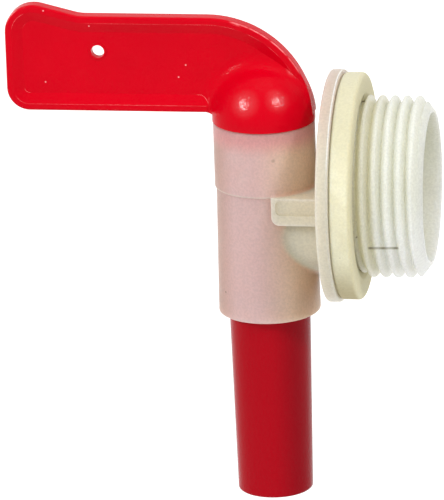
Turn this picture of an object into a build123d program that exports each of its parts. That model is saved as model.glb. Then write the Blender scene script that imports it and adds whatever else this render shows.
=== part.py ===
"""Jerrycan tap with a threaded inlet, a quarter-turn plug and a lever.

The tap comes apart into three pieces. The body is one translucent moulding: an upright
sleeve, a short neck, a flange and a hollow threaded spigot. The plug is one red moulding:
a lever on a dome, a hollow barrel that turns in the sleeve, and the spout below it. A soft
washer seals the flange against the can. The thread is drawn as rings with its true form
and pitch, so it has no lead.

All sizes are in millimetres. The origin is on the axis of the inlet thread, at the outer
face of the washer. +X runs along the thread into the can, +Z is up, and the lever points
along -X when the tap is shut.
"""

from build123d import *

import os
from math import asin, atan2, cos, degrees, radians, sin, sqrt, tan

# Inlet thread: parallel pipe thread, 3/4 inch size, with a 55 degree form
thread_diameter = 26.44
thread_pitch = 1.814
thread_depth = 1.16
thread_reach = 9.85  # from the washer's outer face to the end of the spigot
thread_half_angle = 27.5
thread_round_radius = 0.2  # at the crests and the roots
thread_relief = 0.15  # least plain shank between the washer's outer face and the first turn
thread_run_out = 1.65  # from the last crest to the end of the spigot
spigot_bore_diameter = 21.6
spigot_end_diameter = 22.4  # where the long bevel after the last turn ends

# Sealing washer
washer_diameter = 33.0
washer_thickness = 3.1
washer_edge_radius = 0.6
washer_bore_clearance = 0.3
washer_mouth_depth = 0.35  # how far its bore opens out on the can's side

# Flange
flange_diameter = 33.8
flange_thickness = 1.85
flange_edge_radius = 0.3

# Sleeve that the plug turns in; heights are from the thread's axis
plug_axis_distance = 14.5  # from the washer's outer face back to the plug's axis
sleeve_diameter = 14.8  # above the bar
sleeve_waist_diameter = 14.36  # just below the bar's top, where the mould parts
sleeve_foot_diameter = 14.86
sleeve_wall = 1.42
sleeve_rise = 9.95
sleeve_drop = 19.0
sleeve_edge_radius = 0.3

# Neck between the sleeve and the flange
neck_drop = 6.15  # the neck's axis is this far below the thread's axis
neck_diameter_at_sleeve = 12.0
neck_diameter_at_flange = 12.5
neck_bore_diameter = 7.5
neck_blend_radius = 1.4

# Bar across the top of the neck, with a shallow panel sunk into each flank
bar_width = 15.2
bar_top = 0.25
bar_height = 4.05
bar_start = 1.8  # from the plug's axis towards the flange
bar_corner_radius = 1.2
bar_blend_radius = 0.8
panel_depth = 0.2
panel_sill = 1.5
panel_end_rim = 0.65
panel_top_rim = 0.3
panel_corner_radius = 0.8

# Plug barrel and spout
plug_clearance = 0.05  # all round, between the barrel and the sleeve's bore
plug_seat_gap = 0.1  # between the dome's underside and the sleeve's top
water_bore_diameter = 8.4
water_bore_top = 8.0
port_diameter = 7.5
spout_length = 27.6  # below the sleeve
spout_tip_diameter = 10.96
spout_edge_radius = 0.35

# Snap bead that keeps the plug in the sleeve
bead_rise = 0.25
bead_height = 1.6
bead_drop = 16.4  # below the thread's axis
bead_end_gap = 0.15

# Lug and notch that stop the lever after a quarter turn
turn_degrees = 90
lug_rise = 0.75
lug_depth = 1.2
lug_degrees = 20
lug_play_degrees = 1.5
lug_clearance = 0.1
lug_bearing = 135  # where the lug stands with the tap shut, in degrees from +X

# Dome on top of the barrel
dome_diameter = 15.0
dome_skirt = 0.6
dome_blend_radius = 2.8

# Lever; lengths are from the plug's axis, heights from the sleeve's top
lever_length = 37.45
lever_height = 15.5
lever_underside = 1.2
lever_thickness = 2.4
lever_edge_radius = 0.35
web_thickness = 1.0
rim_width = 1.0
recess_wall_run = 1.5  # how far the recess wall leans in from the rim to the web
grip_crest_rise = 1.6  # the crest at the grip's end, above the lever's back
grip_crest_radius = 4.2
grip_heel_radius = 3.3
grip_slope_degrees = 14.5
grip_blend_radius = 6.0

# Small eye through the lever
eye_distance = 23.95  # from the plug's axis
eye_height = 10.1  # from the sleeve's top
eye_diameter = 1.9
eye_collar_width = 0.3
eye_collar_rise = 0.15

# Radii and places that the sizes above give
thread_r = thread_diameter / 2
flange_r = flange_diameter / 2
sleeve_r = sleeve_diameter / 2
bore_r = sleeve_r - sleeve_wall
plug_r = bore_r - plug_clearance
bead_r = plug_r + bead_rise
lug_r = plug_r + lug_rise
dome_r = dome_diameter / 2
flange_face_x = -washer_thickness
flange_back_x = flange_face_x - flange_thickness
plug_axis_x = -plug_axis_distance
neck_length = flange_back_x - plug_axis_x
dome_base_z = sleeve_rise + plug_seat_gap
dome_centre_z = dome_base_z + dome_skirt

plug_level = Plane(origin=(plug_axis_x, 0, 0))
plug_upright = Plane(origin=(plug_axis_x, 0, 0), x_dir=(1, 0, 0), z_dir=(0, -1, 0))
plug_axis = Axis((plug_axis_x, 0, 0), (0, 0, 1))


def stop_sector(inner_r, outer_r, from_degrees, to_degrees):
    """Draw a sector of a ring about the plug's axis, for the stop lug and its notch."""
    turn = to_degrees - from_degrees
    with BuildLine() as sector:
        inner = CenterArc((0, 0), inner_r, from_degrees, turn)
        outer = CenterArc((0, 0), outer_r, from_degrees, turn)
        Line(inner @ 0, outer @ 0)
        Line(inner @ 1, outer @ 1)
    make_face(sector.edges())


# Threaded shank, drawn along the inlet axis: plain under the washer, then rings with the
# thread's form, at its pitch, and a bevel from the last ring to the spigot's end.
root_r = thread_r - thread_depth
flank_run = thread_depth * tan(radians(thread_half_angle))
crest_half = (thread_pitch / 2 - flank_run) / 2
last_crest_x = thread_reach - thread_run_out
threaded_run = last_crest_x - crest_half - flank_run - thread_relief
ring_count = int(threaded_run / thread_pitch) + 1

with BuildSketch(Plane.XZ) as shank_section:
    with BuildLine():
        outline = [(flange_face_x, 0), (flange_face_x, root_r)]
        for ring in range(ring_count - 1, -1, -1):
            crest_x = last_crest_x - ring * thread_pitch
            outline += [
                (crest_x - crest_half - flank_run, root_r),
                (crest_x - crest_half, thread_r),
                (crest_x + crest_half, thread_r),
                (crest_x + crest_half + flank_run, root_r),
            ]
        outline += [(thread_reach, spigot_end_diameter / 2), (thread_reach, 0)]
        Polyline(*outline, close=True)
    make_face()
    fillet(shank_section.vertices().sort_by(Axis.X)[2:-2], thread_round_radius)

# Small cove where the top of the bar runs into the sleeve
with BuildPart() as bar_blend:
    with BuildSketch(plug_upright):
        with BuildLine():
            CenterArc(
                (sleeve_r + bar_blend_radius, bar_top + bar_blend_radius),
                bar_blend_radius,
                180,
                90,
            )
            Polyline(
                (sleeve_r, bar_top + bar_blend_radius),
                (bore_r, bar_top + bar_blend_radius),
                (bore_r, bar_top - bar_blend_radius),
                (sleeve_r + bar_blend_radius, bar_top - bar_blend_radius),
                (sleeve_r + bar_blend_radius, bar_top),
            )
        make_face()
    revolve(axis=plug_axis)
    with BuildSketch(plug_level.offset(bar_top - bar_blend_radius)):
        with Locations((bar_start, 0)):
            Rectangle(neck_length, bar_width, align=(Align.MIN, Align.CENTER))
    extrude(amount=2 * bar_blend_radius, mode=Mode.INTERSECT)

# Body: sleeve, neck, bar, flange and spigot in one moulding
with BuildPart() as body:
    with BuildSketch(plug_upright):
        with BuildLine():
            Polyline(
                (0, -sleeve_drop),
                (sleeve_foot_diameter / 2, -sleeve_drop),
                (sleeve_waist_diameter / 2, bar_top),
                (sleeve_r, bar_top),
                (sleeve_r, sleeve_rise),
                (0, sleeve_rise),
                close=True,
            )
        make_face()
    revolve(axis=plug_axis)
    sleeve_circles = body.edges().filter_by(GeomType.CIRCLE).sort_by(Axis.Z)
    fillet([sleeve_circles[0], sleeve_circles[-1]], sleeve_edge_radius)

    with BuildSketch(plug_upright) as bar_outline:
        with Locations((bar_start, bar_top - bar_height)):
            Rectangle(neck_length - bar_start, bar_height, align=(Align.MIN, Align.MIN))
        fillet(bar_outline.vertices().sort_by(Axis.X)[:2].sort_by(Axis.Y)[0], bar_corner_radius)
    extrude(amount=bar_width / 2, both=True)
    add(bar_blend.part)

    with BuildSketch(Plane.YZ.offset(plug_axis_x)):
        with Locations((0, -neck_drop)):
            Circle(neck_diameter_at_sleeve / 2)
    with BuildSketch(Plane.YZ.offset(flange_back_x)):
        with Locations((0, -neck_drop)):
            Circle(neck_diameter_at_flange / 2)
    loft()
    new_edges = body.edges(Select.NEW)
    neck_seam = new_edges.filter_by(lambda e: e.bounding_box().max.X < flange_back_x - 0.01)
    fillet(neck_seam, neck_blend_radius)

    for side in (1, -1):
        with BuildSketch(plug_upright.offset(side * bar_width / 2)) as panel:
            with Locations((bar_start + panel_end_rim, bar_top - bar_height + panel_sill)):
                Rectangle(
                    neck_length - bar_start - panel_end_rim,
                    bar_height - panel_sill - panel_top_rim,
                    align=(Align.MIN, Align.MIN),
                )
            fillet(panel.vertices().sort_by(Axis.X)[:2], panel_corner_radius)
        extrude(amount=-side * panel_depth, mode=Mode.SUBTRACT)

    with BuildSketch(Plane.YZ.offset(flange_back_x)):
        Circle(flange_r)
    extrude(amount=flange_thickness)
    rims = body.edges(Select.LAST).filter_by(GeomType.CIRCLE)
    fillet(rims.filter_by(lambda e: abs(e.radius - flange_r) < 0.001), flange_edge_radius)
    revolve(shank_section.sketch, axis=Axis.X)
    with BuildSketch(Plane.YZ.offset(thread_reach)):
        Circle(spigot_bore_diameter / 2)
    extrude(amount=flange_face_x - thread_reach, mode=Mode.SUBTRACT)

    with BuildSketch(Plane.YZ.offset(plug_axis_x)):
        with Locations((0, -neck_drop)):
            Circle(neck_bore_diameter / 2)
    extrude(amount=flange_face_x - plug_axis_x, mode=Mode.SUBTRACT)
    with BuildSketch(plug_level.offset(-sleeve_drop)):
        Circle(bore_r)
    extrude(amount=sleeve_drop + sleeve_rise, mode=Mode.SUBTRACT)
    with BuildSketch(plug_level.offset(-bead_drop - bead_height / 2 - bead_end_gap)):
        Circle(bead_r + plug_clearance)
    extrude(amount=bead_height + 2 * bead_end_gap, mode=Mode.SUBTRACT)
    with BuildSketch(plug_level.offset(sleeve_rise)):
        stop_sector(
            bore_r / 2,
            lug_r + lug_clearance,
            lug_bearing - turn_degrees - lug_degrees / 2 - lug_play_degrees,
            lug_bearing + lug_degrees / 2 + lug_play_degrees,
        )
    extrude(amount=-lug_depth - lug_clearance + plug_seat_gap, mode=Mode.SUBTRACT)

# Sealing washer, loose on the plain shank. Its bore opens out on the can's side, so that the
# face that seals lies clear of the thread; the soft real one stretches over the thread
with BuildPart() as sealing_washer:
    washer_bore_r = root_r + washer_bore_clearance
    washer_mouth_r = thread_r + washer_bore_clearance
    with BuildSketch(Plane.XZ) as washer_section:
        with BuildLine():
            Polyline(
                (flange_face_x, washer_bore_r),
                (-washer_mouth_depth, washer_bore_r),
                (0, washer_mouth_r),
                (0, washer_diameter / 2),
                (flange_face_x, washer_diameter / 2),
                close=True,
            )
        make_face()
        washer_rim = washer_diameter / 2 - washer_mouth_r
        fillet(
            washer_section.vertices().group_by(Axis.Y)[-1],
            min(washer_edge_radius, washer_rim / 3),
        )
    revolve(axis=Axis.X)

# Lever outline on the upright plane through the plug's axis; heights are from the thread's axis
lever_top_z = sleeve_rise + lever_height
lever_low_z = sleeve_rise + lever_underside
crown_radius = lever_top_z - dome_base_z
crown_x = dome_r - crown_radius
crown_start = degrees(asin((lever_low_z - dome_base_z) / crown_radius))
crest_top_z = lever_top_z + grip_crest_rise
crest_x = grip_crest_radius - lever_length
slope = radians(grip_slope_degrees)
slope_top_x = crest_x + grip_crest_radius * sin(slope)
slope_top_z = crest_top_z - grip_crest_radius * (1 - cos(slope))
slope_foot_z = lever_top_z + grip_blend_radius * (1 - cos(slope))
slope_foot_x = slope_top_x + (slope_top_z - slope_foot_z) / tan(slope)
back_start_x = slope_foot_x + grip_blend_radius * sin(slope)

with BuildSketch(plug_upright) as lever_outline:
    with BuildLine():
        crown = CenterArc((crown_x, dome_base_z), crown_radius, crown_start, 90 - crown_start)
        back = Line(crown @ 1, (back_start_x, lever_top_z))
        hollow = TangentArc(back @ 1, (slope_foot_x, slope_foot_z), tangent=(-1, 0))
        ramp = Line(hollow @ 1, (slope_top_x, slope_top_z))
        crest = CenterArc(
            (crest_x, crest_top_z - grip_crest_radius),
            grip_crest_radius,
            90 - grip_slope_degrees,
            90 + grip_slope_degrees,
        )
        heel_centre = (grip_heel_radius - lever_length, lever_low_z + grip_heel_radius)
        end = Line(crest @ 1, (-lever_length, heel_centre[1]))
        heel = CenterArc(heel_centre, grip_heel_radius, 180, 90)
        Line(heel @ 1, crown @ 0)
    make_face()

# Round swelling that runs the dome into the lever's sides, trimmed to the lever's outline
blend_centre_h = web_thickness / 2 + dome_blend_radius
blend_centre_r = sqrt((dome_r + dome_blend_radius) ** 2 - blend_centre_h**2)
blend_bearing = degrees(atan2(blend_centre_h, blend_centre_r))
across_dome = Plane(origin=(plug_axis_x, 0, dome_centre_z), x_dir=(1, 0, 0), z_dir=(0, 0, 1))

with BuildPart() as dome_blend:
    with BuildSketch(across_dome):
        with BuildLine():
            ball = CenterArc((0, 0), dome_r, blend_bearing, 90 - blend_bearing)
            CenterArc(
                (blend_centre_r, blend_centre_h),
                dome_blend_radius,
                180 + blend_bearing,
                90 - blend_bearing,
            )
            Line((blend_centre_r, web_thickness / 2), (blend_centre_r, 0))
            Line(ball @ 1, (0, 0))
            mirror(about=Plane.XZ)
        make_face()
    revolve(axis=Axis((plug_axis_x, 0, dome_centre_z), (0, 1, 0)))
    extrude(lever_outline.sketch, amount=dome_r, both=True, mode=Mode.INTERSECT)

# Plug: lever, dome, barrel and spout in one moulding
with BuildPart() as plug_lever:
    extrude(lever_outline.sketch, amount=lever_thickness / 2, both=True)
    fillet(plug_lever.faces().filter_by(Axis.Y).edges(), lever_edge_radius)
    for side in (1, -1):
        with BuildSketch(plug_upright.offset(side * lever_thickness / 2)):
            offset(lever_outline.sketch_local, amount=-rim_width)
        with BuildSketch(plug_upright.offset(side * web_thickness / 2)):
            offset(lever_outline.sketch_local, amount=-rim_width - recess_wall_run)
        loft(mode=Mode.SUBTRACT)
    add(dome_blend.part)

    with BuildSketch(plug_upright) as round_section:
        with BuildLine():
            skin = CenterArc((0, dome_centre_z), dome_r, 0, 90)
            Polyline(
                skin @ 1,
                (0, -sleeve_drop - spout_length),
                (spout_tip_diameter / 2, -sleeve_drop - spout_length),
                (plug_r, -sleeve_drop),
                (plug_r, dome_base_z),
                (dome_r, dome_base_z),
                skin @ 0,
            )
        make_face()
    revolve(axis=plug_axis)

    with BuildSketch(plug_level.offset(-bead_drop - bead_height / 2)):
        Circle(bead_r)
    extrude(amount=bead_height)
    with BuildSketch(plug_level.offset(dome_base_z)):
        stop_sector(
            plug_r / 2,
            lug_r,
            lug_bearing - lug_degrees / 2,
            lug_bearing + lug_degrees / 2,
        )
    extrude(amount=-lug_depth)

    with BuildSketch(plug_level.offset(-sleeve_drop - spout_length)):
        Circle(water_bore_diameter / 2)
    extrude(amount=water_bore_top + sleeve_drop + spout_length, mode=Mode.SUBTRACT)
    with BuildSketch(Plane((plug_axis_x, 0, -neck_drop), x_dir=(1, 0, 0), z_dir=(0, 1, 0))):
        Circle(port_diameter / 2)
    extrude(amount=sleeve_r, mode=Mode.SUBTRACT)

    with BuildSketch(plug_upright):
        with Locations((-eye_distance, sleeve_rise + eye_height)):
            Circle(eye_diameter / 2 + eye_collar_width)
    extrude(amount=web_thickness / 2 + eye_collar_rise, both=True)
    with BuildSketch(plug_upright):
        with Locations((-eye_distance, sleeve_rise + eye_height)):
            Circle(eye_diameter / 2)
    extrude(amount=lever_thickness, both=True, mode=Mode.SUBTRACT)
    tip_rim = plug_lever.faces().sort_by(Axis.Z)[0].edges()
    fillet(tip_rim, spout_edge_radius)

body.part.label = "body"
sealing_washer.part.label = "sealing_washer"
plug_lever.part.label = "plug_lever"

os.makedirs("parts", exist_ok=True)
export_step(body.part, "parts/body.step")
export_step(sealing_washer.part, "parts/sealing_washer.step")
export_step(plug_lever.part, "parts/plug_lever.step")
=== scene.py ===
# %% [markdown]
# # Dressing a jerrycan tap
#
# The tap has three pieces. The body is one translucent moulding, the plug is one red
# moulding with the lever on top and the spout below, and a cream washer sits between the
# flange and the can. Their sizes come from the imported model, in metres, and stay as they
# are. This lesson gives each piece its finish, cuts the real thread, and lights the tap as
# a catalogue picture would.

from math import cos, pi, radians, sin, sqrt, tan

import bmesh
import bpy
from mathutils import Matrix, Vector


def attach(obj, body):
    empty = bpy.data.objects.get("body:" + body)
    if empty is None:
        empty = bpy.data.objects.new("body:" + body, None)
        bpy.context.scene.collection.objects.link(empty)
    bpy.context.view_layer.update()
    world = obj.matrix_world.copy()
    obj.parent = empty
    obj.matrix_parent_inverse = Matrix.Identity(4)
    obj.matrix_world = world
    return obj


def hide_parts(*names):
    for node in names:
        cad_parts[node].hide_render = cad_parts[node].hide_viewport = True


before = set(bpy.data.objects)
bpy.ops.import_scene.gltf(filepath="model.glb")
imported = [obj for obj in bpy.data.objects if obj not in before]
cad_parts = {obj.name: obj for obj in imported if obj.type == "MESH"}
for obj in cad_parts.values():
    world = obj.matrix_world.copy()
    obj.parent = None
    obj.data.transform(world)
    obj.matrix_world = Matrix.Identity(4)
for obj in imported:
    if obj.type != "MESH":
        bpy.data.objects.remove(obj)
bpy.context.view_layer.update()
MM = 0.001

# %% [markdown]
# ## The camera
#
# A product photograph is often taken from well back with a long lens, so that upright lines
# stay upright. The camera here stands 1.2 m away: a first fit to the picture's outlines
# started near there and stayed. It looks down by 18.5 degrees, which is a choice, because
# anything from 15 to 20 degrees fits nearly as well. Its bearing, its slight tilt and the
# pixels that a millimetre covers were then fitted. The lens length follows from the
# distance and those pixels.

# %% Set the camera
bearing = radians(9.31)
height_angle = radians(18.5)
tilt = radians(2.02)
camera_distance = 1192 * MM
pixels_per_metre = 6897
picture_width, picture_height = 444, 500
origin_pixel = (364.9, 185.8)

towards_camera = Vector(
    (sin(bearing) * cos(height_angle), -cos(bearing) * cos(height_angle), sin(height_angle))
)
level = Vector((cos(bearing), sin(bearing), 0))
upright = towards_camera.cross(level)
camera_right = cos(tilt) * level - sin(tilt) * upright
camera_up = sin(tilt) * level + cos(tilt) * upright
across = (origin_pixel[0] - picture_width / 2) / pixels_per_metre
down = (origin_pixel[1] - picture_height / 2) / pixels_per_metre
camera_place = camera_distance * towards_camera - across * camera_right + down * camera_up

film_height = 36
camera_data = bpy.data.cameras.new("picture_camera")
camera_data.sensor_fit = "VERTICAL"
camera_data.sensor_height = film_height
camera_data.lens = pixels_per_metre * camera_distance * film_height / picture_height
camera_data.clip_end = 20
camera = bpy.data.objects.new("picture_camera", camera_data)
turn = Matrix((camera_right, camera_up, towards_camera)).transposed().to_4x4()
camera.matrix_world = Matrix.Translation(camera_place) @ turn
bpy.context.scene.collection.objects.link(camera)
bpy.context.scene.camera = camera
bpy.context.scene.view_settings.view_transform = "Standard"
print("camera at", [round(c, 4) for c in camera_place], "lens", round(camera_data.lens, 1), "mm")

# %% [markdown]
# ## The real thread
#
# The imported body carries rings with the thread's form. On the real moulding they are one
# right-hand helix. A helix could be swept, but a grid is simpler and stays clean: go round
# the spigot at many stations along its axis, and let the radius fall away from the crest
# by a distance that depends on how far along the turn each point is. The crests are
# rounder than the roots, as they look along the picture's lower outline.

# %% Thread form
thread_r = 13.22 * MM
thread_pitch = 1.814 * MM
half_pitch = thread_pitch / 2
crest_round = 0.42 * MM
root_round = 0.15 * MM
flank_angle = radians(27.5)
steep = pi / 2 - flank_angle
crest_run = crest_round * sin(steep)
crest_fall = crest_round * (1 - cos(steep))
root_run = root_round * sin(steep)
root_fall = root_round * (1 - cos(steep))
straight_run = half_pitch - crest_run - root_run
thread_fall = crest_fall + straight_run / tan(flank_angle) + root_fall


def fall_from_crest(offset):
    """Depth of the thread's surface below its crest, this far along the axis from the crest."""
    if offset < crest_run:
        return crest_round - sqrt(crest_round**2 - offset**2)
    if offset < crest_run + straight_run:
        return crest_fall + (offset - crest_run) / tan(flank_angle)
    left = half_pitch - offset
    return thread_fall - root_round + sqrt(max(root_round**2 - left**2, 0))


print("thread depth", round(thread_fall / MM, 3), "mm")

# %% [markdown]
# ## The spigot as a grid
#
# The sleeve, neck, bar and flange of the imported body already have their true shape, so a
# copy of that mesh is kept up to a plane hidden inside the washer. The spigot beyond it is
# a new grid of rings: outside with the helix, a bevel that cuts the last turn, the end
# face, and the bore back to the plane.

# %% Rings round the spigot
cut_x = -2.3 * MM
grid_start_x = -2.1 * MM
thread_start_x = -0.4 * MM
thread_full_x = 0.6 * MM
spigot_end_x = 9.85 * MM
bore_r = 10.8 * MM
bevel_end_r = 11.25 * MM
bevel_run = 1.45 * MM
end_round = 0.12 * MM
end_bends = (30, 60, 90)
first_crest_x = 0.29 * MM
stations_along = 150
stations_round = 192
bore_stations = 12


def spigot_radius(x, turn_angle):
    """Outer radius of the spigot at a place along its axis and an angle round it."""
    along = x - first_crest_x - thread_pitch * turn_angle / (2 * pi)
    offset = abs((along + half_pitch) % thread_pitch - half_pitch)
    share = min(max((x - thread_start_x) / (thread_full_x - thread_start_x), 0), 1)
    radius = thread_r - thread_fall + share * (thread_fall - fall_from_crest(offset))
    bevel_slope = (thread_r - bevel_end_r) / bevel_run
    return min(radius, bevel_end_r + bevel_slope * (spigot_end_x - x))


def ring_of_points(mesh, x, radius_at):
    """Add one ring of points round the spigot's axis and return it."""
    ring = []
    for step in range(stations_round):
        angle = 2 * pi * step / stations_round
        radius = radius_at(angle)
        ring.append(mesh.verts.new((x, radius * cos(angle), radius * sin(angle))))
    return ring


def spigot_rings(mesh):
    """Outside rings up to the end, round the lip, and bore rings back to the start."""
    rings = []
    last_x = spigot_end_x - end_round
    for step in range(stations_along + 1):
        x = grid_start_x + (last_x - grid_start_x) * step / stations_along
        rings.append(ring_of_points(mesh, x, lambda angle: spigot_radius(x, angle)))
    for bend in end_bends:
        inset = end_round * (1 - cos(radians(bend)))
        x = last_x + end_round * sin(radians(bend))
        rings.append(ring_of_points(mesh, x, lambda angle: spigot_radius(last_x, angle) - inset))
    for bend in reversed((0, *end_bends)):
        x = last_x + end_round * sin(radians(bend))
        radius = bore_r + end_round * (1 - cos(radians(bend)))
        rings.append(ring_of_points(mesh, x, lambda angle: radius))
    for step in range(1, bore_stations + 1):
        x = last_x + (grid_start_x - last_x) * step / bore_stations
        rings.append(ring_of_points(mesh, x, lambda angle: bore_r))
    return rings


turns = (spigot_end_x - thread_start_x) / thread_pitch
print("the thread makes", round(turns, 1), "turns")

# %% [markdown]
# ## One closed skin
#
# The copy is cut at the plane, which leaves it with two open loops, one outside and one in
# the bore. The grid could simply stand against them, but then a seam could show through
# milky plastic. Two bridges of faces join it on, so the result is one closed skin, as a
# moulding is.

# %% Join the spigot to the copy
weld_distance = 0.0005 * MM


def skin_between(mesh, ring, following):
    """Fill the strip between two rings that have the same number of points."""
    count = len(ring)
    for step in range(count):
        after = (step + 1) % count
        mesh.faces.new((ring[step], following[step], following[after], ring[after]))


def ring_edges(ring):
    """Every edge that touches a ring's points, once each."""
    return list({edge for point in ring for edge in point.link_edges})


def loop_edges(ring):
    """The closed loop of edges that joins a ring's points."""
    count = len(ring)
    pairs = [{ring[step], ring[(step + 1) % count]} for step in range(count)]
    return [e for e in ring_edges(ring) if {e.verts[0], e.verts[1]} in pairs]


moulding = bmesh.new()
moulding.from_mesh(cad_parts["body"].data)
bmesh.ops.remove_doubles(moulding, verts=moulding.verts, dist=weld_distance)
everything = moulding.verts[:] + moulding.edges[:] + moulding.faces[:]
bmesh.ops.bisect_plane(
    moulding, geom=everything, plane_co=(cut_x, 0, 0), plane_no=(1, 0, 0), clear_outer=True
)
cut_edges = [e for e in moulding.edges if e.is_boundary]
middle_r = (bore_r + thread_r - thread_fall) / 2
cut_outside = [e for e in cut_edges if Vector(e.verts[0].co.yz).length > middle_r]
cut_inside = [e for e in cut_edges if Vector(e.verts[0].co.yz).length <= middle_r]

rings = spigot_rings(moulding)
for ring, following in zip(rings, rings[1:]):
    skin_between(moulding, ring, following)
bmesh.ops.bridge_loops(moulding, edges=cut_outside + loop_edges(rings[0]))
bmesh.ops.bridge_loops(moulding, edges=cut_inside + loop_edges(rings[-1]))
bmesh.ops.recalc_face_normals(moulding, faces=moulding.faces)
open_edges = sum(1 for e in moulding.edges if not e.is_manifold)
print("body faces", len(moulding.faces), "open edges", open_edges)

# %% [markdown]
# ## The body as an object
#
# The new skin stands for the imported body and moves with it. The copy brought along the
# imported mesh's own shading directions, which no longer fit the cut faces, so they are
# thrown away. Smooth shading that breaks at real corners takes their place.

# %% Put the body in place
edge_angle = radians(32)


def shade_like_moulding(mesh):
    """Smooth shading, broken only at real corners."""
    mesh.shade_smooth()
    mesh.set_sharp_from_angle(angle=edge_angle)


body_mesh = bpy.data.meshes.new("tap_body_moulding")
moulding.to_mesh(body_mesh)
moulding.free()
if "custom_normal" in body_mesh.attributes:
    body_mesh.attributes.remove(body_mesh.attributes["custom_normal"])
shade_like_moulding(body_mesh)
tap_body = bpy.data.objects.new("tap_body_moulding", body_mesh)
bpy.context.scene.collection.objects.link(tap_body)
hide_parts("body")
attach(tap_body, "tap_body")
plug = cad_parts["plug_lever"]
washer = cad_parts["sealing_washer"]
print("body mesh has", len(body_mesh.vertices), "points")

# %% [markdown]
# ## Small helpers for finishes
#
# A finish is a little network of nodes. It could be wired by hand in the editor, but a
# helper for each kind of step keeps the recipe short enough to read. The first ones make a
# material, a noise, a stretch of values, a sum, and a mix of two colours. Colours are
# written as they look on a screen, from 0 to 255.

# %% Helpers for materials
def screen_colour(red, green, blue):
    """A screen colour, as the shader wants it."""
    values = []
    for level_value in (red, green, blue):
        share = level_value / 255
        values.append(share / 12.92 if share <= 0.04045 else ((share + 0.055) / 1.055) ** 2.4)
    return (*values, 1)


def new_material(name):
    """An empty material with one shader, and the node tree it lives in."""
    material = bpy.data.materials.new(name)
    material.use_nodes = True
    tree = material.node_tree
    tree.nodes.clear()
    output = tree.nodes.new("ShaderNodeOutputMaterial")
    shader = tree.nodes.new("ShaderNodeBsdfPrincipled")
    tree.links.new(shader.outputs["BSDF"], output.inputs["Surface"])
    return material, tree, shader


def place_on(tree):
    """Where a point is on the object, in metres."""
    return tree.nodes.new("ShaderNodeTexCoord").outputs["Object"]


def noise(tree, place, grain, detail=3):
    """Cloudy noise whose grain is this many metres across."""
    node = tree.nodes.new("ShaderNodeTexNoise")
    node.inputs["Scale"].default_value = 1 / grain
    node.inputs["Detail"].default_value = detail
    tree.links.new(place, node.inputs["Vector"])
    return node.outputs["Fac"]


def stretch(tree, value, start, end, to_start=0.0, to_end=1.0):
    """Ease from one value to another while the input goes from start to end."""
    node = tree.nodes.new("ShaderNodeMapRange")
    node.interpolation_type = "SMOOTHSTEP"
    node.inputs["From Min"].default_value = start
    node.inputs["From Max"].default_value = end
    node.inputs["To Min"].default_value = to_start
    node.inputs["To Max"].default_value = to_end
    tree.links.new(value, node.inputs["Value"])
    return node.outputs["Result"]


def work_out(tree, operation, first, second=0):
    """One sum on one or two values, each a number or a socket."""
    node = tree.nodes.new("ShaderNodeMath")
    node.operation = operation
    for socket, value in zip(node.inputs, (first, second)):
        if isinstance(value, (int, float)):
            socket.default_value = value
        else:
            tree.links.new(value, socket)
    return node.outputs["Value"]


# The mix node has a set of sockets for each kind of value; these are the colour ones.
mix_first_colour, mix_second_colour, mix_result_colour = 6, 7, 2


def blend_colours(tree, share, first, second):
    """Mix two colours, each a screen colour or a socket."""
    node = tree.nodes.new("ShaderNodeMix")
    node.data_type = "RGBA"
    tree.links.new(share, node.inputs["Factor"])
    for index, value in ((mix_first_colour, first), (mix_second_colour, second)):
        socket = node.inputs[index]
        if isinstance(value, tuple):
            socket.default_value = value
        else:
            tree.links.new(value, socket)
    return node.outputs[mix_result_colour]


print("a middle grey is", round(screen_colour(128, 128, 128)[0], 3), "to the shader")

# %% [markdown]
# ## Helpers for places and dirt
#
# Dirt and wear sit at definite places, so a finish needs masks: a band between two limits,
# a soft spot about a point, and a fine grain. They could be painted on a picture that is
# wrapped round the object. Worked out from the place itself, they need no unwrapping and
# stay sharp from close up.

# %% Helpers for places and dirt
def clouds(tree, place, size):
    """Broad soft patches, from 0 to 1."""
    return stretch(tree, noise(tree, place, size), 0.35, 0.65)


def uneven(tree, place, size, least, most, detail=3):
    """A value that wanders between two limits across the surface."""
    return stretch(tree, noise(tree, place, size, detail), 0.3, 0.7, least, most)


def band(tree, value, rise, fall):
    """1 between two limits; rise and fall each hold where the value is 0 and where it is 1."""
    return work_out(tree, "MULTIPLY", stretch(tree, value, *rise), stretch(tree, value, *fall))


def coordinate(tree, place, axis):
    """One coordinate of a place: X, Y or Z."""
    node = tree.nodes.new("ShaderNodeSeparateXYZ")
    tree.links.new(place, node.inputs[0])
    return node.outputs[axis]


def distance_from(tree, place, point, scale=(1, 1, 1)):
    """Distance from a point; a scale of 0 on an axis leaves that axis out."""
    shift = tree.nodes.new("ShaderNodeVectorMath")
    shift.operation = "SUBTRACT"
    tree.links.new(place, shift.inputs[0])
    shift.inputs[1].default_value = point
    squeeze = tree.nodes.new("ShaderNodeVectorMath")
    squeeze.operation = "MULTIPLY"
    tree.links.new(shift.outputs["Vector"], squeeze.inputs[0])
    squeeze.inputs[1].default_value = scale
    length = tree.nodes.new("ShaderNodeVectorMath")
    length.operation = "LENGTH"
    tree.links.new(squeeze.outputs["Vector"], length.inputs[0])
    return length.outputs["Value"]


def spot(tree, place, point, inner, outer, scale=(1, 1, 1)):
    """A soft spot: 1 near a point, easing to 0."""
    return stretch(tree, distance_from(tree, place, point, scale), inner, outer, 1.0, 0.0)


def add_bump(tree, shader, height, depth, normal=None):
    """Raise the surface by a height from 0 to 1, times a depth in metres."""
    node = tree.nodes.new("ShaderNodeBump")
    node.inputs["Distance"].default_value = depth
    tree.links.new(height, node.inputs["Height"])
    if normal is not None:
        tree.links.new(normal, node.inputs["Normal"])
    tree.links.new(node.outputs["Normal"], shader.inputs["Normal"])
    return node.outputs["Normal"]


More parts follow.
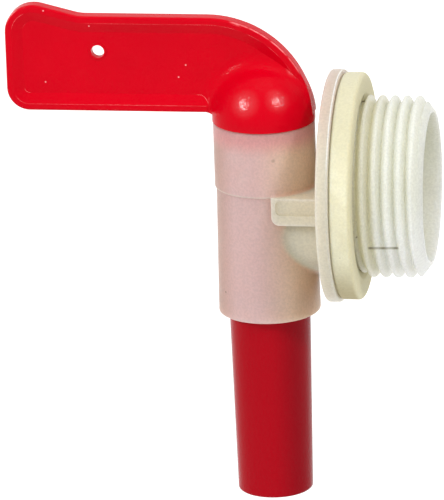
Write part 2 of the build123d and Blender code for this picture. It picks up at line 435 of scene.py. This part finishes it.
dirt_brown = screen_colour(96, 88, 58)
speck_core_share = 0.2
fine_grain_size = 0.35 * MM


def add_specks(tree, place, colour, specks):
    """Specks of dirt, each with its place and size in millimetres and its strength."""
    for x_mm, y_mm, z_mm, size, share in specks:
        at = (x_mm * MM, y_mm * MM, z_mm * MM)
        speck = spot(tree, place, at, speck_core_share * size * MM, size * MM)
        colour = blend_colours(tree, work_out(tree, "MULTIPLY", speck, share), colour, dirt_brown)
    return colour


def fine_grain(tree, place, colour, darkest):
    """Darken a colour a little, point by point, as a matt mould surface does."""
    grain = uneven(tree, place, fine_grain_size, darkest, 1.0, detail=2)
    node = tree.nodes.new("ShaderNodeVectorMath")
    node.operation = "SCALE"
    tree.links.new(colour, node.inputs[0])
    tree.links.new(grain, node.inputs["Scale"])
    return node.outputs["Vector"]


def dress(obj, material):
    """Give an object one material all over."""
    obj.data.materials.clear()
    obj.data.materials.append(material)
    print(material.name, "has", len(material.node_tree.nodes), "nodes")


# %% [markdown]
# ## Red plug: colours and pimples
#
# The plug is coloured right through and moulded in a polyethylene-like plastic, with a
# faint grain and a few tiny pimples, whose pale colour is a painted highlight. One red all
# over would do from a distance, and the lever, dome and spout are one red. The spout looks
# deeper than the lever, though, and deeper still on its right side, so it has two reds of
# its own. Both are painted shade, so they turn with the plug.

# %% Red colours
lever_red = screen_colour(216, 0, 26)
deep_red = screen_colour(206, 0, 24)
spout_shaded_red = screen_colour(174, 6, 24)
spout_shaded_dark = screen_colour(150, 6, 22)
pimple_highlight_pink = screen_colour(246, 176, 178)
glint_pink = screen_colour(255, 150, 152)
sleeve_foot_z = -19.0 * MM
spout_fade = 6 * MM
spout_shade_start_x = -14 * MM
spout_shade_full_x = -9.5 * MM
red_patch_size = 9 * MM
red_patch_share = 0.5
pimple_core = 0.04 * MM
pimple_reach = 0.16 * MM
pimples = [(-25.6, 18.14), (-46.1, 26.3), (-39.5, 24.0), (-46.3, 15.3), (-26.7, 16.3)]


def plug_red(tree, place):
    """Bright red above, painted shade that deepens the spout, and a few pale pimples on the lever.
    """
    patches = work_out(tree, "MULTIPLY", clouds(tree, place, red_patch_size), red_patch_share)
    lever = blend_colours(tree, patches, lever_red, deep_red)
    height = coordinate(tree, place, "Z")
    # Painted shade: the spout deeper red than the lever, and deeper still on its right side.
    low_share = stretch(tree, height, sleeve_foot_z, sleeve_foot_z + spout_fade, 1.0, 0.0)
    along = coordinate(tree, place, "X")
    shade = stretch(tree, along, spout_shade_start_x, spout_shade_full_x)
    spout = blend_colours(tree, shade, spout_shaded_red, spout_shaded_dark)
    colour = blend_colours(tree, low_share, lever, spout)
    # The pimples are real marks on the moulding; their pale colour is a painted highlight.
    for x_mm, z_mm in pimples:
        at = (x_mm * MM, 0, z_mm * MM)
        pimple = spot(tree, place, at, pimple_core, pimple_reach, (1, 0, 1))
        colour = blend_colours(tree, pimple, colour, pimple_highlight_pink)
    return colour


print("pimples on the lever:", len(pimples))

# %% [markdown]
# ## Glints on the lever's edges
#
# The edges of the lever and of its sunk panel glint in places. A sharp small lamp could
# give such a glint, but it would move along the edge, and the ones wanted lie at definite
# places. So they are a pale colour, laid only on edges and only near the listed places.
# They stay put when the lamps change. An edge is found by comparing the surface's normal
# with one that the bevel node rounds, and the lever's rounded rim by how far it faces
# sideways.

# %% Glints
# Each: centre along X and Z, half length and half height in millimetres, and strength.
glint_places = [
    (-50.2, 24.8, 1.7, 1.7, 1.0),
    (-49.5, 13.2, 1.3, 1.3, 1.0),
    (-23.3, 13.2, 1.2, 1.6, 1.0),
    (-17.0, 24.7, 2.2, 1.3, 0.7),
    (-14.4, 23.4, 2.4, 1.5, 0.9),
    (-11.6, 21.2, 2.2, 1.7, 0.9),
    (-9.6, 18.6, 1.5, 2.0, 0.6),
    (-42.0, 12.1, 9.0, 0.8, 0.7),
    (-31.0, 12.2, 9.0, 0.8, 0.9),
    (-34.0, 24.2, 8.0, 0.8, 0.7),
    (-23.0, 24.1, 8.0, 0.8, 0.7),
]
glint_edge_round = 0.2 * MM
glint_grain = 0.5 * MM
glint_noise = (0.3, 0.6)
least_glint = 0.35
glint_core_share = 0.5
agree_at_corner = 0.965
agree_on_flat = 0.997
rim_sideways = (0.3, 0.5)
flat_sideways = (0.88, 0.75)


def rounded_normal(tree, radius):
    """Normal that rounds real corners by a small radius."""
    node = tree.nodes.new("ShaderNodeBevel")
    node.samples = 8
    node.inputs["Radius"].default_value = radius
    return node.outputs["Normal"]


def near_edges(tree, radius):
    """1 along corners and on the lever's rounded rim, and 0 on open surface."""
    lean = tree.nodes.new("ShaderNodeVectorMath")
    lean.operation = "DOT_PRODUCT"
    tree.links.new(rounded_normal(tree, radius), lean.inputs[0])
    normal = tree.nodes.new("ShaderNodeNewGeometry").outputs["Normal"]
    tree.links.new(normal, lean.inputs[1])
    corner = stretch(tree, lean.outputs["Value"], agree_at_corner, agree_on_flat, 1.0, 0.0)
    sideways = work_out(tree, "ABSOLUTE", coordinate(tree, normal, "Y"))
    rim = band(tree, sideways, rim_sideways, flat_sideways)
    return work_out(tree, "MAXIMUM", corner, rim)


def add_glints(tree, place, colour):
    """Pale glints along the edges, only near the listed places, broken up by grain."""
    share = None
    for x_mm, z_mm, half_length, half_height, strength in glint_places:
        at = (x_mm * MM, 0, z_mm * MM)
        scale = (1 / (half_length * MM), 0, 1 / (half_height * MM))
        near = spot(tree, place, at, glint_core_share, 1, scale)
        near = work_out(tree, "MULTIPLY", near, strength)
        share = near if share is None else work_out(tree, "MAXIMUM", share, near)
    broken = stretch(tree, noise(tree, place, glint_grain, 2), *glint_noise, least_glint, 1.0)
    share = work_out(tree, "MULTIPLY", share, broken)
    share = work_out(tree, "MULTIPLY", share, near_edges(tree, glint_edge_round))
    return blend_colours(tree, share, colour, glint_pink)


print("places that glint:", len(glint_places))

# %% [markdown]
# ## Gloss of the red plug
#
# On the real plug the gloss is probably even. Here even gloss would lay pale sheens over
# the lever and the spout, which the picture doesn't show. So the plug has little gloss in
# general, and more in two spots on the dome, where the picture has its two highlights and
# the two front lamps show. The spots sit at listed points and stay there when a lamp moves.
# The roughness wanders a little, and a shallow bump gives the mould grain.

# %% Red finish
# Each: centre along X, Y and Z and reach in millimetres, and the gloss added there.
glossy_spots = [(-16.2, -6.3, 14.2, 2.6, 0.45), (-11.6, -5.7, 14.5, 2.2, 0.35)]
glossy_core_share = 0.3
plain_gloss = 0.05
plug_edge_round = 0.14 * MM
plug_grain = 0.3 * MM
plug_grain_depth = 0.05 * MM


def red_finish():
    """Red plastic with a fine mould grain, glossy only in the listed spots."""
    material, tree, shader = new_material("red_moulded_plastic")
    place = place_on(tree)
    colour = add_glints(tree, place, plug_red(tree, place))
    tree.links.new(colour, shader.inputs["Base Color"])
    tree.links.new(uneven(tree, place, 3 * MM, 0.12, 0.17), shader.inputs["Roughness"])
    gloss = plain_gloss
    for x_mm, y_mm, z_mm, reach, added_gloss in glossy_spots:
        at = (x_mm * MM, y_mm * MM, z_mm * MM)
        glossy = spot(tree, place, at, glossy_core_share * reach * MM, reach * MM)
        gloss = work_out(tree, "ADD", work_out(tree, "MULTIPLY", glossy, added_gloss), gloss)
    tree.links.new(gloss, shader.inputs["Specular IOR Level"])
    grain = noise(tree, place, plug_grain, 2)
    add_bump(tree, shader, grain, plug_grain_depth, rounded_normal(tree, plug_edge_round))
    return material


dress(plug, red_finish())

# %% [markdown]
# ## Translucent body: the sleeve
#
# Natural polyethylene is milky: light goes in, spreads and comes out tinted by what lies
# behind. Round the sleeve that is the red barrel, so the sleeve looks pink. Light could be
# let through to the barrel to get that tint, but then it would hang on the barrel's guessed
# shape. The tint is painted instead. So is some of the picture's light and shade: the
# darker left side, the warm side towards the flange, the brown corner under it and the
# pale line along the ledge.

# %% Sleeve colours
plug_axis_x = -14.5 * MM
sleeve_r = 7.4 * MM
sleeve_top_z = 9.95 * MM
bar_top_z = 0.25 * MM
sleeve_left = screen_colour(193, 153, 138)
sleeve_pink = screen_colour(226, 185, 181)
sleeve_warm = screen_colour(236, 196, 168)
sleeve_amber = screen_colour(246, 202, 174)
sleeve_rose = screen_colour(230, 156, 154)
sleeve_brown = screen_colour(204, 166, 138)
ledge_pale = screen_colour(238, 210, 202)
left_end_x = plug_axis_x - 3.5 * MM
warm_start_x = plug_axis_x - 1 * MM
warm_full_x = plug_axis_x + 6 * MM
amber_from_z = 0
amber_full_z = 5 * MM
corner_heights = (-9 * MM, -16 * MM)
corner_across = (-11 * MM, -8 * MM)
rose_heights = (sleeve_top_z - 4 * MM, sleeve_top_z - 1 * MM)
rose_share = 0.85
ledge_rise = (bar_top_z - 0.2 * MM, bar_top_z - 0.05 * MM)
ledge_fall = (bar_top_z + 0.2 * MM, bar_top_z)
ledge_share = 0.6


def sleeve_colour(tree, place):
    """Pink round the red barrel: rose at the top, warmer towards the flange."""
    along = coordinate(tree, place, "X")
    height = coordinate(tree, place, "Z")
    left = stretch(tree, along, plug_axis_x - sleeve_r, left_end_x)
    colour = blend_colours(tree, left, sleeve_left, sleeve_pink)
    right = stretch(tree, along, warm_start_x, warm_full_x)
    high = stretch(tree, height, amber_from_z, amber_full_z)
    colour = blend_colours(tree, right, colour, blend_colours(tree, high, sleeve_warm, sleeve_amber))
    low = stretch(tree, height, *corner_heights)
    corner = work_out(tree, "MULTIPLY", low, stretch(tree, along, *corner_across))
    colour = blend_colours(tree, corner, colour, sleeve_brown)
    top = work_out(tree, "MULTIPLY", stretch(tree, height, *rose_heights), rose_share)
    colour = blend_colours(tree, top, colour, sleeve_rose)
    ledge = work_out(tree, "MULTIPLY", band(tree, height, ledge_rise, ledge_fall), ledge_share)
    return blend_colours(tree, ledge, colour, ledge_pale)


print("sleeve radius", round(sleeve_r / MM, 2), "mm about X", round(plug_axis_x / MM, 2), "mm")

# %% [markdown]
# ## Which parts have no barrel behind them
#
# The neck, the bar, the flange and the spigot stand clear of the plug and stay cream. A
# mask tells them from the sleeve. They are all one mesh, so the mask can't come from
# separate pieces. It is put together from simple shapes instead: a slab for the flange, a
# cylinder for the neck, and what sticks out of the sleeve between two heights for the bar.

# %% Mask of the cream parts
neck_z = -6.15 * MM
bar_bottom_z = -3.8 * MM
flange_slab = (-5.4 * MM, -5.0 * MM)
neck_core_r = 6.3 * MM
neck_edge_r = 6.9 * MM
neck_fade = (-13.2 * MM, -9.8 * MM)
bar_clear_of_sleeve = (sleeve_r - 0.15 * MM, sleeve_r + 0.2 * MM)
bar_rise = (bar_bottom_z - 0.2 * MM, bar_bottom_z)
bar_fall = (bar_top_z + 0.3 * MM, bar_top_z)
flank_aside = (sleeve_r - 0.14 * MM, sleeve_r - 0.06 * MM)
flank_fade = (-12.9 * MM, -12.2 * MM)
flank_fall = (bar_top_z + 0.2 * MM, bar_top_z)


def clear_of_plug(tree, place):
    """1 on the neck, the bar and the spigot, 0 on the sleeve."""
    along = coordinate(tree, place, "X")
    height = coordinate(tree, place, "Z")
    flange = stretch(tree, along, *flange_slab)
    from_neck = distance_from(tree, place, (0, 0, neck_z), (0, 1, 1))
    neck = stretch(tree, from_neck, neck_core_r, neck_edge_r, 1.0, 0.0)
    neck = work_out(tree, "MULTIPLY", neck, stretch(tree, along, *neck_fade))
    off_axis = distance_from(tree, place, (plug_axis_x, 0, 0), (1, 1, 0))
    bar = stretch(tree, off_axis, *bar_clear_of_sleeve)
    bar = work_out(tree, "MULTIPLY", bar, band(tree, height, bar_rise, bar_fall))
    aside = work_out(tree, "ABSOLUTE", coordinate(tree, place, "Y"))
    flank = stretch(tree, aside, *flank_aside)
    flank = work_out(tree, "MULTIPLY", flank, stretch(tree, along, *flank_fade))
    flank = work_out(tree, "MULTIPLY", flank, stretch(tree, height, *flank_fall))
    parts = work_out(tree, "MAXIMUM", flange, neck)
    return work_out(tree, "MAXIMUM", parts, work_out(tree, "MAXIMUM", bar, flank))


print("bar between Z", round(bar_bottom_z / MM, 2), "and", round(bar_top_z / MM, 2), "mm")

# %% [markdown]
# ## Neck, flange and thread
#
# Away from the barrel the plastic is cream, and whiter on the thread. One cream with good
# lamps might do, but the picture shows steps between the neck, the flange and the thread.
# So the colours follow one another along the inlet's axis. Some of them carry the
# picture's light: the pale glint on the flange's edge, the brighter lower thread and the
# shaded lower half of the bore.

# %% Spigot colours
neck_cream = screen_colour(222, 215, 194)
bar_cream = screen_colour(226, 217, 195)
flange_white = screen_colour(218, 210, 190)
flange_rose = screen_colour(208, 191, 176)
flange_glint = screen_colour(250, 246, 232)
shank_cream = screen_colour(226, 222, 198)
thread_white = screen_colour(226, 227, 214)
thread_low = screen_colour(248, 249, 240)
inside_green = screen_colour(220, 223, 208)
inside_low = screen_colour(184, 181, 164)
bar_colour_heights = (-4.2 * MM, -3.6 * MM)
flange_start = (-5.3 * MM, -4.9 * MM)
flange_rose_heights = (6 * MM, 15 * MM)
glint_rise = (-3.46 * MM, -3.38 * MM)
glint_fall = (-3.2 * MM, -3.28 * MM)
glint_heights = (5 * MM, 10 * MM)
shank_start = (-2.8 * MM, -1 * MM)
thread_heights = (4 * MM, -8 * MM)
thread_start = (0.8 * MM, 4.5 * MM)
bore_core_r = 10.6 * MM
bore_edge_r = 10.9 * MM
cup_start = (-3.05 * MM, -2.95 * MM)
cup_heights = (0, -5 * MM)


def spigot_colour(tree, place):
    """Cream neck, warm white flange and whiter thread, one after the other."""
    along = coordinate(tree, place, "X")
    height = coordinate(tree, place, "Z")
    on_bar = stretch(tree, height, *bar_colour_heights)
    colour = blend_colours(tree, on_bar, neck_cream, bar_cream)
    on_flange = stretch(tree, along, *flange_start)
    colour = blend_colours(tree, on_flange, colour, flange_white)
    high = work_out(tree, "MULTIPLY", stretch(tree, height, *flange_rose_heights), on_flange)
    colour = blend_colours(tree, high, colour, flange_rose)
    edge = band(tree, along, glint_rise, glint_fall)
    edge = work_out(tree, "MULTIPLY", edge, stretch(tree, height, *glint_heights))
    colour = blend_colours(tree, edge, colour, flange_glint)
    colour = blend_colours(tree, stretch(tree, along, *shank_start), colour, shank_cream)
    low = stretch(tree, height, *thread_heights)
    thread = blend_colours(tree, low, thread_white, thread_low)
    colour = blend_colours(tree, stretch(tree, along, *thread_start), colour, thread)
    off_axis = distance_from(tree, place, (0, 0, 0), (0, 1, 1))
    inside = stretch(tree, off_axis, bore_core_r, bore_edge_r, 1.0, 0.0)
    inside = work_out(tree, "MULTIPLY", inside, stretch(tree, along, *cup_start))
    cup = blend_colours(tree, stretch(tree, height, *cup_heights), inside_green, inside_low)
    return blend_colours(tree, inside, colour, cup)


print("thread is white from X", round(thread_start[1] / MM, 1), "mm on")

# %% [markdown]
# ## Marks on the body, and its finish
#
# A thin grey line crosses the thread, and a few specks of dirt lie on the sleeve and where
# the thread starts. The line is nearly level in the picture, so it follows the picture's
# upward direction, written once with the camera. Subsurface scattering gives the softness
# of milky plastic.

# %% Body finish
mark_grey = screen_colour(132, 128, 112)
mark_level = -9.05 * MM
mark_core = 0.08 * MM
mark_edge = 0.24 * MM
mark_strength = 0.7
mark_rise = (1.7 * MM, 2.0 * MM)
mark_fall = (6.4 * MM, 6.1 * MM)
mark_front = (-9 * MM, -10 * MM)
body_specks = [
    (-12.25, -7.05, 5.87, 0.4, 0.3),
    (-20.18, -4.66, -15.05, 0.2, 0.9),
    (0.2, -11.5, -4.0, 0.25, 0.7),
]
body_edge_round = 0.12 * MM
body_grain = 0.4 * MM
body_grain_depth = 0.03 * MM


def body_marks(tree, place, colour):
    """A grey line across the thread and a few specks of dirt."""
    slanted = tree.nodes.new("ShaderNodeVectorMath")
    slanted.operation = "DOT_PRODUCT"
    tree.links.new(place, slanted.inputs[0])
    slanted.inputs[1].default_value = camera_up
    off_line = work_out(tree, "SUBTRACT", slanted.outputs["Value"], mark_level)
    off_line = work_out(tree, "ABSOLUTE", off_line)
    line = stretch(tree, off_line, mark_core, mark_edge, mark_strength, 0.0)
    along = coordinate(tree, place, "X")
    line = work_out(tree, "MULTIPLY", line, band(tree, along, mark_rise, mark_fall))
    front = stretch(tree, coordinate(tree, place, "Y"), *mark_front)
    colour = blend_colours(tree, work_out(tree, "MULTIPLY", line, front), colour, mark_grey)
    return add_specks(tree, place, colour, body_specks)


def body_finish():
    """Milky polyethylene, with the tint of the plug behind it painted in."""
    material, tree, shader = new_material("translucent_polyethylene")
    place = place_on(tree)
    clear = clear_of_plug(tree, place)
    colour = blend_colours(tree, clear, sleeve_colour(tree, place), spigot_colour(tree, place))
    colour = fine_grain(tree, place, body_marks(tree, place, colour), 0.9)
    tree.links.new(colour, shader.inputs["Base Color"])
    tree.links.new(uneven(tree, place, 2 * MM, 0.3, 0.4), shader.inputs["Roughness"])
    shader.inputs["Subsurface Weight"].default_value = 0.9
    shader.inputs["Subsurface Radius"].default_value = (1.0, 0.93, 0.8)
    shader.inputs["Subsurface Scale"].default_value = 5 * MM
    shader.inputs["Specular IOR Level"].default_value = 0.25
    grain = noise(tree, place, body_grain, 3)
    add_bump(tree, shader, grain, body_grain_depth, rounded_normal(tree, body_edge_round))
    return material


dress(tap_body, body_finish())

# %% [markdown]
# ## Washer
#
# The washer is a soft cream ring. It is matt, a little yellow and faintly mottled, and has
# picked up specks of dirt. Noise alone would give the mottling. Its rim is also darker
# high up and lower down, and its face a little darker than the rim, and that is the
# picture's shade again, painted in.

# %% Washer finish
washer_cream = screen_colour(242, 238, 210)
washer_mottle = screen_colour(234, 229, 198)
washer_high = screen_colour(222, 217, 186)
washer_face = screen_colour(224, 217, 182)
washer_low = screen_colour(196, 185, 146)
washer_r = 16.5 * MM
high_heights = (0.3 * washer_r, 0.8 * washer_r)
low_heights = (-0.4 * washer_r, -0.85 * washer_r)
face_start = (-0.7 * MM, -0.1 * MM)
washer_patch_size = 4 * MM
washer_grain = 0.5 * MM
washer_grain_depth = 0.02 * MM
washer_specks = [
    (-0.3, -2.07, 16.4, 0.16, 0.9),
    (-1.7, -15.4, -5.9, 0.12, 0.5),
    (-0.9, -14.0, 8.8, 0.1, 0.4),
    (-2.0, -11.2, -12.1, 0.12, 0.4),
    # The last and largest speck darkens the washer's face at the top of its bore, beside the thread.
    (-0.05, 2.2, 12.9, 0.6, 0.6),
]


def washer_finish():
    """Matt cream ring with faint mottling and dirt."""
    material, tree, shader = new_material("cream_soft_washer")
    place = place_on(tree)
    mottle = clouds(tree, place, washer_patch_size)
    colour = blend_colours(tree, mottle, washer_cream, washer_mottle)
    height = coordinate(tree, place, "Z")
    colour = blend_colours(tree, stretch(tree, height, *high_heights), colour, washer_high)
    colour = blend_colours(tree, stretch(tree, height, *low_heights), colour, washer_low)
    face = stretch(tree, coordinate(tree, place, "X"), *face_start)
    colour = blend_colours(tree, face, colour, washer_face)
    colour = add_specks(tree, place, colour, washer_specks)
    tree.links.new(fine_grain(tree, place, colour, 0.93), shader.inputs["Base Color"])
    tree.links.new(uneven(tree, place, 1 * MM, 0.6, 0.75), shader.inputs["Roughness"])
    shader.inputs["Specular IOR Level"].default_value = 0.2
    shader.inputs["Subsurface Weight"].default_value = 0.6
    shader.inputs["Subsurface Radius"].default_value = (1.0, 0.9, 0.7)
    shader.inputs["Subsurface Scale"].default_value = 1.5 * MM
    add_bump(tree, shader, noise(tree, place, washer_grain, 3), washer_grain_depth)
    return material


dress(washer, washer_finish())

# %% [markdown]
# ## Floor and background
#
# The tap is held by its thread, so the floor lies well below it. More light would make the
# floor and the room white, but it would bleach the tap too. They look white only to the
# camera, to mirrors and to glass, and give the tap a soft fill.

# %% Floor and world
floor_z = -160 * MM
floor_half = 3
floor_pale = screen_colour(232, 232, 230)
floor_glow = 0.55
fill_strength = 0.66
corners = [(-floor_half, -floor_half), (floor_half, -floor_half)]
corners += [(floor_half, floor_half), (-floor_half, floor_half)]
floor_mesh = bpy.data.meshes.new("floor")
floor_mesh.from_pydata([(x, y, floor_z) for x, y in corners], [], [(0, 1, 2, 3)])
floor = bpy.data.objects.new("floor", floor_mesh)
bpy.context.scene.collection.objects.link(floor)


def seen_directly(tree):
    """1 on a ray from the camera, a mirror or a glass, and 0 on any other."""
    path = tree.nodes.new("ShaderNodeLightPath")
    seen = work_out(tree, "MAXIMUM", path.outputs["Is Camera Ray"], path.outputs["Is Glossy Ray"])
    return work_out(tree, "MAXIMUM", seen, path.outputs["Is Transmission Ray"])


def floor_finish():
    """Pale floor that keeps shadows and reads as white."""
    material, tree, shader = new_material("pale_floor")
    shader.inputs["Base Color"].default_value = floor_pale
    shader.inputs["Roughness"].default_value = 0.9
    glow = tree.nodes.new("ShaderNodeEmission")
    strength = work_out(tree, "MULTIPLY", seen_directly(tree), floor_glow)
    tree.links.new(strength, glow.inputs["Strength"])
    both = tree.nodes.new("ShaderNodeAddShader")
    output = tree.nodes["Material Output"]
    tree.links.new(shader.outputs["BSDF"], both.inputs[0])
    tree.links.new(glow.outputs["Emission"], both.inputs[1])
    tree.links.new(both.outputs["Shader"], output.inputs["Surface"])
    return material


dress(floor, floor_finish())

world = bpy.data.worlds.new("white_room")
bpy.context.scene.world = world
world.use_nodes = True
room = world.node_tree
background = room.nodes["Background"]
background.inputs["Color"].default_value = (1, 1, 1, 1)
strength = stretch(room, seen_directly(room), 0, 1, fill_strength, 1.0)
room.links.new(strength, background.inputs["Strength"])
print("floor", round(-floor_z / MM), "mm below the thread's axis, fill", fill_strength)

# %% [markdown]
# ## Lamps
#
# Two small square lamps in front make the two highlights on the dome. A wide one above
# lights the lever's back. One big lamp would be softer, but would leave a single broad
# highlight. They are kept low, so that the cream and the white plastic don't bleach.

# %% Lamps
lamp_target = Vector((-14 * MM, 0, 0))
front_distance, top_distance = 0.8, 0.7
front_size, top_size = 0.08, 0.45


def soft_lamp(name, direction, distance, size, watts):
    """A square lamp that looks at the tap from a direction given from the camera's view."""
    towards = direction[0] * level + direction[1] * Vector((0, 0, 1))
    towards += direction[2] * Vector((towards_camera.x, towards_camera.y, 0)).normalized()
    towards.normalize()
    light = bpy.data.lights.new(name, "AREA")
    light.size = size
    light.energy = watts
    lamp = bpy.data.objects.new(name, light)
    lamp.location = lamp_target + distance * towards
    lamp.rotation_euler = towards.to_track_quat("Z", "Y").to_euler()
    bpy.context.scene.collection.objects.link(lamp)
    return lamp


soft_lamp("left_lamp", (-0.70, 0.53, 0.48), front_distance, front_size, 1.95)
soft_lamp("right_lamp", (0.475, 0.656, 0.586), front_distance, front_size, 1.6)
soft_lamp("top_lamp", (0.1, 1.0, 0.15), top_distance, top_size, 0.8)
print("lamps", len(bpy.data.lights))
